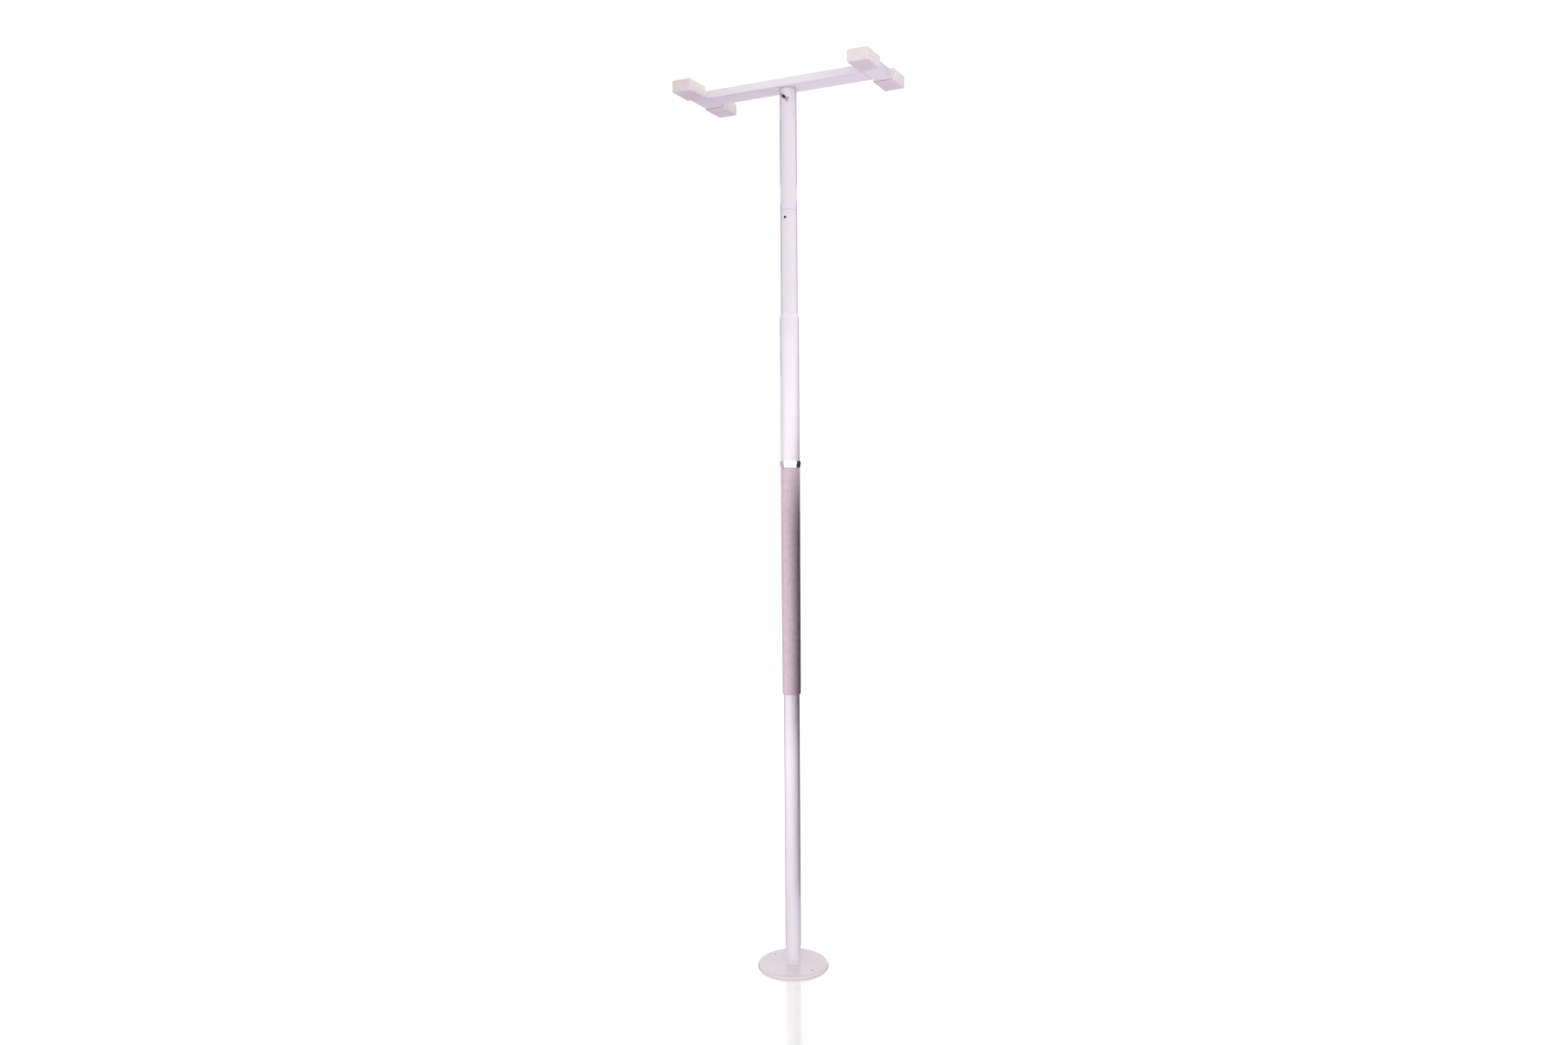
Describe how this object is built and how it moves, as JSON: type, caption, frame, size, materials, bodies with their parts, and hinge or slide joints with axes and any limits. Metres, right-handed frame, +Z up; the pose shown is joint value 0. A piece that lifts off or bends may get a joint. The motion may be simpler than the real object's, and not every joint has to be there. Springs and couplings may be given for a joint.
{
  "type": "floor-to-ceiling grab pole",
  "caption": "White safety pole on a round base with a foam grip, a screw jack turned at the grip, and an H-shaped ceiling head with rubber boots.",
  "frame": {"origin": "centre of the base's underside, on the floor", "axes": "+Z up the pole; +X along the ceiling crossbar; the release button and the split pin face -Y"},
  "size_m": [0.502, 0.228, 2.134],
  "materials": {
    "white_paint": "gloss",
    "base_paint": "gloss",
    "steel": "satin",
    "dark_steel": "satin",
    "chrome": "polished",
    "bronze": "satin",
    "nylon": "matte",
    "foam": "matte",
    "cream_rubber": "matte",
    "grey_rubber": "matte"
  },
  "bodies": {
    "base": {"base_plate": "base_paint", "base_pad": "grey_rubber", "base_spigot": "white_paint", "thrust_washer": "nylon"},
    "turning_grip": {"lower_tube": "white_paint", "foot_plug": "steel", "foam_grip": "foam", "collar_plug": "steel", "plug_screws": "steel", "jack_collar": "chrome", "jack_screw": "steel", "screw_pin": "steel", "outer_sleeve": "white_paint", "sleeve_screws": "steel", "sleeve_guide": "nylon"},
    "riser": {"riser_tube": "white_paint", "jack_nut": "bronze", "nut_screws": "steel", "riser_guide": "nylon", "top_tube": "white_paint", "snap_spring": "steel", "head_spigot": "white_paint", "head_pin": "dark_steel", "split_pin": "steel", "crossbar": "white_paint", "end_bar_left": "white_paint", "end_bar_right": "white_paint", "head_welds": "white_paint", "boot_front_left": "cream_rubber", "boot_rear_left": "cream_rubber", "boot_front_right": "cream_rubber", "boot_rear_right": "cream_rubber"},
    "release_button": {"snap_button": "dark_steel"}
  },
  "joints": [
    {"name": "grip_turn", "type": "hinge", "parent": "base", "child": "turning_grip", "pos_m": [0, 0, 0.144], "axis": [0, 0, -1], "range_deg": [0, 7200]},
    {"name": "riser_lift", "type": "slide", "parent": "base", "child": "riser", "axis": [0, 0, 1], "range_m": [0, 0.1]},
    {"name": "button_press", "type": "slide", "parent": "riser", "child": "release_button", "axis": [0, 1, 0], "range_m": [0, 0.0045], "stiffness_N_per_m": 2500, "springref_m": -0.001}
  ],
  "couplings": [
    {"joint": "riser_lift", "follows": "grip_turn", "m_per_rad": 0.00079577}
  ]
}
